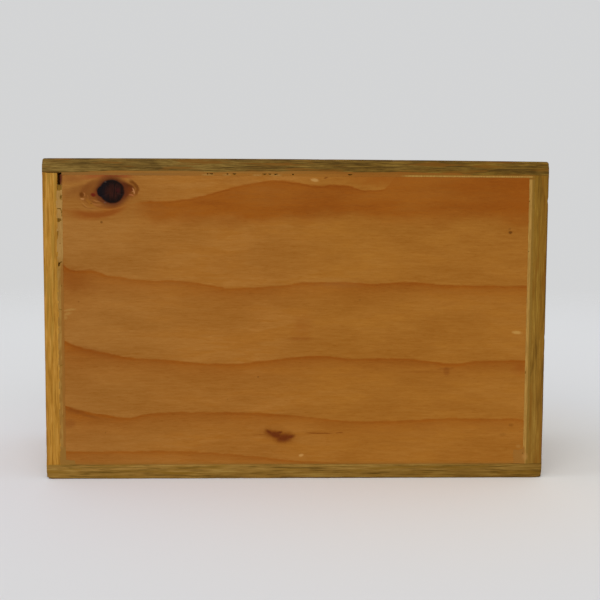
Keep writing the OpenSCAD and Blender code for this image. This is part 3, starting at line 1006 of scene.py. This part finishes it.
def hand_hole(x_low, x_high):
    """Cutting form of a hand hole with round ends, its rims rounded over."""
    rim_y = span("long_wall_lower")[1][1]
    middle_y = rim_y - HAND_HOLE_FROM_RIM
    middle_z = span("long_wall_upper")[1][2] / 2
    straight = (HAND_HOLE_LENGTH - HAND_HOLE_WIDTH) / 2
    angles = np.radians(np.linspace(0, 180, 19))
    steps = np.linspace(0, 1, 6)
    rounding = HAND_HOLE_ROUNDING * (1 - np.sqrt(1 - (1 - steps) ** 2))
    rim = list(zip(steps * HAND_HOLE_ROUNDING, rounding))
    levels = [(x_low - 1.5 * MM, HAND_HOLE_ROUNDING * 1.6)]
    levels += [(x_low + inward, extra) for inward, extra in rim]
    levels += [(x_high - inward, extra) for inward, extra in rim[::-1]]
    levels += [(x_high + 1.5 * MM, HAND_HOLE_ROUNDING * 1.6)]
    rings = []
    for x, extra in levels:
        radius = HAND_HOLE_WIDTH / 2 + extra
        upper = np.stack([np.cos(angles) * radius, straight + np.sin(angles) * radius], axis=1)
        lower = -upper
        outline = np.concatenate([upper, lower]) + (middle_y, middle_z)
        rings.append(np.column_stack([np.full(len(outline), x), outline]))
    return ring_stack(rings)


def end_wall(side, seed, wood):
    """The left or right end wall with its hand hole. The left one holds the lid's closed end in a groove."""
    node = "end_wall_" + side
    low, high = span(node)
    thickness = high[0] - low[0]
    outer = low[0] if side == "left" else high[0]

    def wear(points):
        outside = 1 - smoothstep(0.3, 0.7, np.abs(points[:, 0] - outer) / thickness)
        at_end = 1 - smoothstep(1 * MM, 4 * MM, np.minimum(points[:, 2] - low[2], high[2] - points[:, 2]))
        return MM * (0.25 + 0.75 * outside * (1 - at_end))

    def bow(points):
        if side == "left":
            front = 1 - smoothstep(4 * MM, 12 * MM, points[:, 1] - low[1])
            front *= smoothstep(2.5 * MM, 4 * MM, points[:, 0] - low[0])
            points[:, 2] -= END_JOINT_GAP * front * (points[:, 2] > high[2] - 3 * MM)
        points[:, 1] = np.maximum(points[:, 1], low[1] + FILLER_LAP / 2)
        return points

    piece = worn_board(node.replace("wall", "board"), low, high, (4 * MM, 8 * MM, 4 * MM), seed, wear,
                       (0.3 * MM, 1.0 * MM), bow)
    forms = [hand_hole(low[0], high[0])]
    if side == "left":
        forms.append(lid_groove(high[0] + MM, low[2] - MM, high[2] + MM))
    forms += nail_holes(f"corner_nails_lower_{side}", f"corner_nails_upper_{side}", f"base_pins_{side}")
    cut(piece, forms)
    material = board_wood(piece.name, node, "z", (0, outer), seed, **wood)
    place_piece(piece, "crate", f"end_{side}_pine", material, node)


def knot_relief(points):
    """How deep the knots and pinholes lie in the base at these points, in millimetres."""
    x, z = points[:, 0] / MM, points[:, 2] / MM
    from_disc = np.hypot((x - KNOT[0]) / KNOT_SIZE[0], (z - KNOT[1]) / KNOT_SIZE[1])
    from_lobe = np.hypot((x - KNOT[0] + KNOT_LOBE) / KNOT_LOBE_SIZE[0], (z - KNOT[1]) / KNOT_LOBE_SIZE[1])
    from_knot = np.minimum(from_disc, from_lobe)
    crack = np.exp(-((from_knot - 1.0) / 0.06) ** 2) * (0.5 + 0.5 * lump(points, 62, 18 * MM))
    angle = np.arctan2(z - KNOT[1], x - KNOT[0])
    rays = np.clip(np.cos(angle * 5 + 1.1) - 0.93, 0, 1) * 14 * smoothstep(0.1, 0.4, from_knot)
    inside = 1 - smoothstep(0.85, 1.0, from_knot)
    depth = 0.45 * np.clip(crack, 0, 1) + inside * (0.12 + 0.22 * rays)
    depth -= 0.1 * np.exp(-((from_knot - 1.35) / 0.25) ** 2)
    from_small = np.hypot((x - SMALL_KNOT[0]) / SMALL_KNOT_SIZE[0], (z - SMALL_KNOT[1]) / SMALL_KNOT_SIZE[1])
    depth += 0.18 * (1 - smoothstep(0.5, 1.1, from_small)) * (1 + lump(points, 63, 4 * MM))
    for place, size, *_ in BASE_MARKS[:PINHOLES]:
        near = np.hypot((x - place[0]) / size[0], (z - place[1]) / size[1])
        depth += 0.25 * (1 - smoothstep(0.2, 1.1, near))
    return depth


def base():
    """The plywood base, a trifle below the board edges, with raised grain and relief in its knots."""
    low, high = span("base_panel")
    joint_z = span("long_wall_lower")[1][2]
    shown = np.array((low[0], low[1] + FILLER_LAP, joint_z + 0.05 * MM))

    def shape(points):
        x, z = points[:, 0] / MM, points[:, 2] / MM
        # The corner beside the left filler's missing end is sunk, and reaches into the gap
        lip = smoothstep(292, 294.5, z) * (1 - smoothstep(0, 1.4, x - low[0] / MM))
        depth = 0.05 * lump(points * (0.35, 1, 1), 61, 22 * MM) + knot_relief(points) + 0.9 * lip
        front = points[:, 1] < shown[1] + 0.5 * MM
        radius = np.where(z < 20, 0.05, 0.25)[:, None] * MM
        worn = rounded(points, shown, high, radius)
        worn[:, 1] += np.where(front, np.maximum(depth, -0.05) * MM, 0)
        worn[:, 0] -= 2.0 * MM * lip
        return worn

    xs, ys, zs = (grid_lines(shown[i], high[i], step * MM, (0.25 * MM,)) for i, step in enumerate((4, 3, 4)))
    for place, reach, step in ((KNOT, (19, 15), 0.6 * MM), (SMALL_KNOT, (14, 6), 0.8 * MM)):
        xs = with_fine_stretch(xs, (place[0] - reach[0]) * MM, (place[0] + reach[0]) * MM, step)
        zs = with_fine_stretch(zs, (place[1] - reach[1]) * MM, (place[1] + reach[1]) * MM, step)
    piece = lattice_box("base_plywood", xs, ys, zs, shape)
    pockets = [box_cutter(*chip_pocket(side)) for side in ("left", "right")]
    cut(piece, pockets + nail_holes(*(node for node in NAILS if node.startswith("base_pins"))))
    place_piece(piece, "crate", "base_ply", base_ply(), "base_panel")


def chip_pocket(side):
    """Corners of the pocket that a filled chip leaves in the base, reaching past the base's edges."""
    low, high = span("filler_chip_" + side)
    if side == "left":
        return low - (MM, MM, MM), high
    return low - (0, MM, MM), high + (MM, 0, 0)


def hollows(points, seed, pits, cracks):
    """How deep the filler's surface lies at these points, with pits and cracks as filler() takes them."""
    hollow = 0.05 * MM * np.clip(1 + lump(points, seed + 4, 9 * MM), 0, 2)
    x, z = points[:, 0] / MM, points[:, 2] / MM
    for pit_x, pit_z, half_width, half_height, depth in pits:
        near = np.hypot((x - pit_x) / half_width, (z - pit_z) / half_height)
        near = near + 0.25 * lump(points, seed + 5, 2.5 * MM)
        hollow = hollow + depth * MM * (1 - smoothstep(0.45, 1.1, near))
    for x0, z0, x1, z1, half_width, depth in cracks:
        way = np.array((x1 - x0, z1 - z0))
        from_start = np.stack([x - x0, z - z0], axis=1)
        along = np.clip(from_start @ way / (way @ way), 0, 1)
        off = np.linalg.norm(from_start - along[:, None] * way, axis=1)
        off = off + 0.2 * lump(points, seed + 6, 3 * MM)
        hollow = hollow + depth * MM * (1 - smoothstep(half_width * 0.4, half_width, off))
    return np.minimum(hollow, 3 * MM)


def filler(node, step, laps, seed, pits=(), cracks=(), raggedness=1.0):
    """A sanded strip of filler with a ragged, thin skin that laps over its neighbours on the front.

    laps are how far the skin reaches past the gap, at the left, right, lower and upper edge, and raggedness
    is how much that varies. A pit is an (x, z, half width, half height, depth) hollow; a crack is an
    (x, z, x, z, half width, depth) slit. All in millimetres, except step, the mesh's grid in metres.
    """
    low, high = span(node)
    left, right, lower, upper = (lap * MM for lap in laps)
    wide_low = low - (left, 0, lower)
    wide_high = high + (right, 0, upper)

    def ragged_along(place, first_seed):
        return 1 + raggedness * (0.55 * ripple(place, first_seed, 23 * MM)
                                 + 0.3 * ripple(place, first_seed + 1, 5 * MM))

    def shape(points):
        x, z = points[:, 0], points[:, 2]
        beside, above = ragged_along(z, seed), ragged_along(x, seed + 2)
        skin_low = low - np.stack([left * beside, 0 * x, lower * above], axis=1)
        skin_high = high + np.stack([right * beside, 0 * x, upper * above], axis=1)
        share = (points - wide_low) / (wide_high - wide_low)
        front = points[:, 1] < low[1] + 1.2 * FILLER_LAP
        bodily = low + share * (high - low)
        skin = skin_low + share * (skin_high - skin_low)
        shaped = np.where(front[:, None], skin, bodily)
        shaped[:, 1] = points[:, 1]
        outermost = points[:, 1] < low[1] + 0.5 * FILLER_LAP
        shaped[:, 1] += np.where(outermost, hollows(shaped, seed, pits, cracks), 0)
        return shaped

    xs, zs = (np.linspace(wide_low[i], wide_high[i], max(6, round((wide_high[i] - wide_low[i]) / step) + 1))
              for i in (0, 2))
    ys = np.array([low[1], low[1] + FILLER_LAP, low[1] + 1.4 * FILLER_LAP, high[1]])
    piece = lattice_box(node.replace("filler", "filler_strip"), xs, ys, zs, shape)
    place_piece(piece, "crate", "filler", FILLER, node)


def fillers():
    """The filler in the gaps round the base and in its two chipped corners."""
    low, high = span("filler_left")
    wall, panel = low[0] / MM, high[0] / MM
    filler("filler_left", 0.4 * MM, (0.9, 0.4, 0, 0), 71, raggedness=0.6, pits=[
        (wall + 2.2, 291.0, 6.0, 3.6, 0.7),
        (panel - 0.9, 281.2, 1.2, 3.2, 0.8),
        (wall + 0.7, 258.7, 3.2, 2.0, 1.0),
        (panel + 0.8, 258.0, 0.9, 1.1, 0.6),
        (wall - 0.2, 245.2, 0.8, 3.2, 0.6),
        (wall - 0.6, 252.5, 0.6, 1.8, 0.35),
        (wall + 0.0, 215.2, 2.2, 2.4, 1.3),
        (wall + 2.0, 236.0, 0.5, 0.7, 0.4),
        (wall + 3.0, 194.0, 0.5, 0.8, 0.4),
        (wall + 2.6, 64.0, 0.5, 2.4, 0.3),
        (wall + 1.4, 92.0, 0.5, 3.0, 0.25),
    ], cracks=[
        (wall - 1.2, 270.2, wall + 2.6, 270.2, 0.7, 0.5),
        (wall + 2.6, 270.2, panel, 266.5, 0.7, 0.4),
        (panel, 266.5, panel, 262.5, 0.6, 0.35),
        (wall + 0.6, 216.0, wall + 3.2, 217.8, 0.7, 0.7),
        (wall - 0.5, 115.0, panel, 115.4, 0.5, 0.3),
        (wall, 171.0, wall + 3.0, 170.4, 0.5, 0.3),
    ])
    panel = span("filler_right")[0][0] / MM
    filler("filler_right", 0.4 * MM, (0.4, 0.6, 0, 0), 81, raggedness=0.5, pits=[
        (panel + 0.3, 280.0, 0.6, 0.8, 0.4),
        (panel + 0.6, 230.0, 0.5, 0.8, 0.4),
        (panel + 0.2, 108.0, 0.6, 1.6, 0.5),
    ])
    voids = [(-88.6, 0.8), (-84.8, 2.0), (-69, 0.9), (-62, 1.8), (-32.6, 2.0), (-27.4, 1.3), (-21.3, 2.0),
             (-4.4, 0.9), (51.8, 2.2)]
    top = span("filler_right")[1][2] / MM
    filler("filler_upper", 0.5 * MM, (0, 0, 0.3, 0.3), 91,
           pits=[(x, top + 0.1, half, 1.1, 2.0) for x, half in voids])
    filler("filler_chip_left", 0.5 * MM, (0, 1.2, 0.25, 0.8), 101)
    filler("filler_chip_right", 0.45 * MM, (1.0, 0, 0.25, 1.5), 111, pits=[
        (230.8, 25.2, 0.9, 0.8, 0.9),
        (234.4, 23.5, 0.9, 1.0, 1.2),
    ])


def nails():
    """Wire nails and panel pins, each group one piece."""
    for count, (node, (kind, way, _, _)) in enumerate(NAILS.items()):
        forms = []
        for number, place in enumerate(nail_places(node)):
            forms.append(turned(nail_profile(kind, 10 * count + number), place, way))
        name = node.replace("_nails", "_wire_nails").replace("_pins", "_panel_pins")
        piece = mesh_object(name, *joined(forms))
        shade(piece, 30)
        place_piece(piece, "lid" if node == "lid_pins" else "crate", "nail_steel", STEEL, node)


def lid():
    """The plywood lid, and the batten that closes the grooves' open ends."""
    low, high = span("lid_panel")
    piece = worn_board("lid_plywood", low, high, (8 * MM, 2 * MM, 8 * MM), 121,
                       lambda points: np.full(len(points), 0.5 * MM), (0.5 * MM,))
    cut(piece, nail_holes("lid_pins"))
    place_piece(piece, "lid", "lid_ply", lid_ply(), "lid_panel")

    low, high = span("lid_batten")
    piece = worn_board("lid_batten_strip", low, high, (2.5 * MM, 2 * MM, 4 * MM), 131,
                       lambda points: np.full(len(points), 1.0 * MM), (1.0 * MM,))
    cut(piece, nail_holes("lid_pins"))
    material = board_wood(piece.name, "lid_batten", "z", (1, high[1]), 131, **BATTEN_WOOD)
    place_piece(piece, "lid", "batten_pine", material, "lid_batten")


# The wood of each board, as board_wood takes it
# The upper board's face tone is painted light on its wide faces, for the views from the side and above
UPPER_WOOD = {
    "tones": ((80, 58, 18), (109, 83, 34), (136, 108, 52), (119, 78, 24)),
    "pith": (22, -30), "spacing": 4.6, "contrast": 1.45, "drift": (103, 74, 19), "face": (128, 98, 42),
    "dirt_and_shade": 0.4,
    "smear": (((-250, 0.4), (-150, 1.3), (-85, 1.6), (-50, 1.8), (-10, 2.3), (50, 2.6), (110, 2.8),
               (140, 2.4), (160, 1.4), (185, 0.2), (250, 0)), (146, 97, 37), (139, 85, 25)),
    "knots": ((96, 34, 8), (-150, -28, 5)),
}
LOWER_WOOD = {
    "tones": ((104, 76, 24), (145, 108, 47), (164, 130, 66), (134, 98, 30)),
    "pith": (-18, 26), "spacing": 4.0, "contrast": 1.25, "stretch": 1.4, "drift": (124, 91, 34),
    "rim": (135, 99, 39), "dirt_and_shade": 0.5, "knots": ((-120, 20, 7),),
}
LEFT_WOOD = {
    "tones": ((142, 96, 26), (171, 120, 42), (186, 138, 62), (154, 114, 40)),
    "pith": (-16, 24), "spacing": 3.8, "contrast": 1.35, "dirt_and_shade": 0.12, "stretch": 1.3,
    "knots": ((262, -12, 6),),
}
RIGHT_WOOD = {
    "tones": ((102, 70, 18), (130, 93, 31), (150, 116, 48), (122, 80, 20)),
    "pith": (20, -28), "spacing": 3.8, "contrast": 0.85, "stretch": 1.3, "drift": (129, 92, 25),
    "rim": (129, 90, 28), "dirt_and_shade": 0.5, "knots": ((74, 42, 7),),
}
BATTEN_WOOD = {
    "tones": ((128, 88, 30), (156, 112, 44), (178, 138, 64), (150, 104, 34)),
    "pith": (12, 30), "spacing": 3.4, "dirt_and_shade": 0.3,
}

STEEL = nail_steel()
FILLER = wood_filler()

long_wall("lower", 11, LOWER_WOOD)
long_wall("upper", 21, UPPER_WOOD)
end_wall("left", 31, LEFT_WOOD)
end_wall("right", 41, RIGHT_WOOD)
base()
fillers()
nails()
lid()


# ---------------------------------------------------------------- stage, light and camera

def floor():
    """A pale floor whose rim melts into the sky. Near the crate it is painted lighter, and warmer at the
    right, as painted light.
    """
    rings, spokes = 24, 96
    angles = np.linspace(0, 2 * math.pi, spokes, endpoint=False)
    points = [(0.0, 0.0, 0.0)]
    for ring in range(1, rings + 1):
        radius = FLOOR_RADIUS * (ring / rings) ** 1.5
        points += [(math.cos(a) * radius, math.sin(a) * radius, 0.0) for a in angles]
    faces = [(0, 1 + i, 1 + (i + 1) % spokes) for i in range(spokes)]
    for ring in range(rings - 1):
        start = 1 + ring * spokes
        for i in range(spokes):
            after = (i + 1) % spokes
            faces.append((start + i, start + spokes + i, start + spokes + after, start + after))
    piece = mesh_object("floor", points, faces)
    s = Surface("floor_paper")
    away = s.distance(s.x, s.y)
    # Painted light: lighter near the crate, and warmer at its right as a painted bounce from the wood
    s.color = s.mix(s.fade(s.x, -350, 350), FLOOR_LEFT, FLOOR_RIGHT)
    s.paint(s.fade(away, 150, 560), FLOOR_FAR)
    paper = s.add("BsdfPrincipled", {"Base Color": s.color, "Roughness": 0.9, "Specular IOR Level": 0.2})
    clear = s.add("BsdfTransparent", {})
    share = s.fade(away, 0.35 * FLOOR_RADIUS / MM, 0.95 * FLOOR_RADIUS / MM)
    both = s.add("MixShader", {0: share, 1: paper.outputs[0], 2: clear.outputs[0]})
    s.add("OutputMaterial", {0: both.outputs[0]})
    piece.data.materials.append(s.material)


def soft_sun(name, azimuth, elevation, spread, strength):
    """A very wide sun. azimuth 0 is behind the camera, and a positive one to its left. Angles in degrees."""
    light = bpy.data.lights.new(name, "SUN")
    light.energy = strength
    light.angle = math.radians(spread)
    lamp = bpy.data.objects.new(name, light)
    lamp.rotation_euler = (math.radians(90 - elevation), 0, math.radians(-azimuth))
    bpy.context.scene.collection.objects.link(lamp)


def sky():
    """Even soft light from all round, which is also the background."""
    world = bpy.data.worlds.new("sky")
    world.use_nodes = True
    world.node_tree.nodes["Background"].inputs[0].default_value = SKY
    bpy.context.scene.world = world


def camera():
    """The view of the base from just below the crate's top, slightly from the left."""
    lens = bpy.data.cameras.new("camera")
    lens.lens = 60
    lens.sensor_width = 36
    eye = bpy.data.objects.new("camera", lens)
    yaw, pitch, roll = (math.radians(turn) for turn in CAMERA_TURN)
    eye.matrix_world = (Matrix.Translation(CAMERA_PLACE) @ Matrix.Rotation(-yaw, 4, "Z")
                        @ Matrix.Rotation(math.pi / 2 + pitch, 4, "X") @ Matrix.Rotation(roll, 4, "Z"))
    bpy.context.scene.collection.objects.link(eye)
    bpy.context.scene.camera = eye


floor()
sky()
soft_sun("front_light", 8, 38, 60, 1.35)
soft_sun("left_light", 80, 32, 28, 0.30)
camera()
bpy.context.scene.view_settings.view_transform = "Standard"
